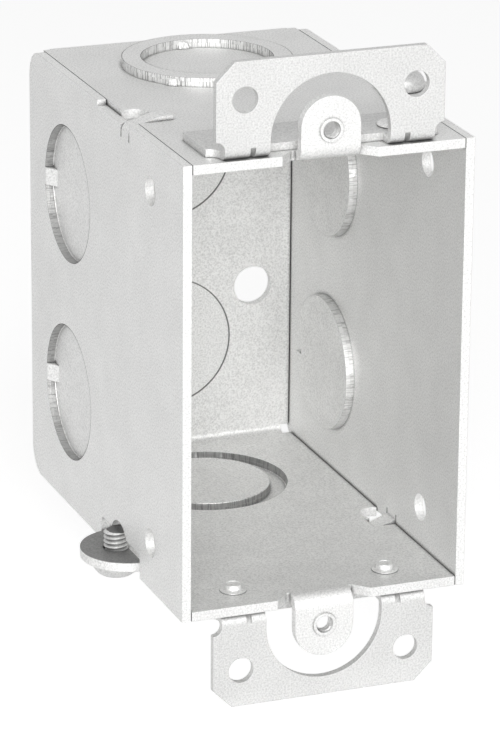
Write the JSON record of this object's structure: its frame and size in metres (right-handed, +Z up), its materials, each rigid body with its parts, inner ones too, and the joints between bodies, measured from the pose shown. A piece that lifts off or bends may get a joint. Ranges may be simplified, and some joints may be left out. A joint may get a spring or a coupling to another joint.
{
  "type": "switch box",
  "caption": "Deep single-gang steel wall box with lift-off side plates, sheared knockouts, riveted plaster ears and clamp screws for ganging.",
  "frame": {"origin": "midway between the two device screw holes, in the plane of the box's front edge", "axes": "+X to the right seen from the room, +Y into the wall, +Z up along the line of the device screws"},
  "size_m": [0.0616, 0.0765, 0.108],
  "materials": {
    "body_sheet": "zinc-coated sheet, matt, fine grain",
    "side_plate_sheet": "zinc-coated sheet, matt, fine grain",
    "ear_sheet": "zinc-coated sheet, matt, fine grain",
    "rivet": "zinc-plated, headed cold",
    "screw": "zinc-plated machine screw"
  },
  "bodies": {
    "box": {"box_body": "body_sheet", "left_side_plate": "side_plate_sheet", "right_side_plate": "side_plate_sheet", "top_plaster_ear": "ear_sheet", "bottom_plaster_ear": "ear_sheet", "top_left_rivet": "rivet", "top_right_rivet": "rivet", "bottom_left_rivet": "rivet", "bottom_right_rivet": "rivet"},
    "top_right_screw": {"top_right_clamp_screw": "screw"},
    "bottom_left_screw": {"bottom_left_clamp_screw": "screw"}
  },
  "joints": [
    {"name": "top_right_screw_turn", "type": "hinge", "parent": "box", "child": "top_right_screw", "pos_m": [0.0249, 0.0312, 0.0381], "axis": [0, 0, 1], "range_deg": [0, 1890]},
    {"name": "bottom_left_screw_turn", "type": "hinge", "parent": "box", "child": "bottom_left_screw", "pos_m": [-0.0249, 0.0312, -0.0381], "axis": [0, 0, -1], "range_deg": [0, 1890]}
  ]
}
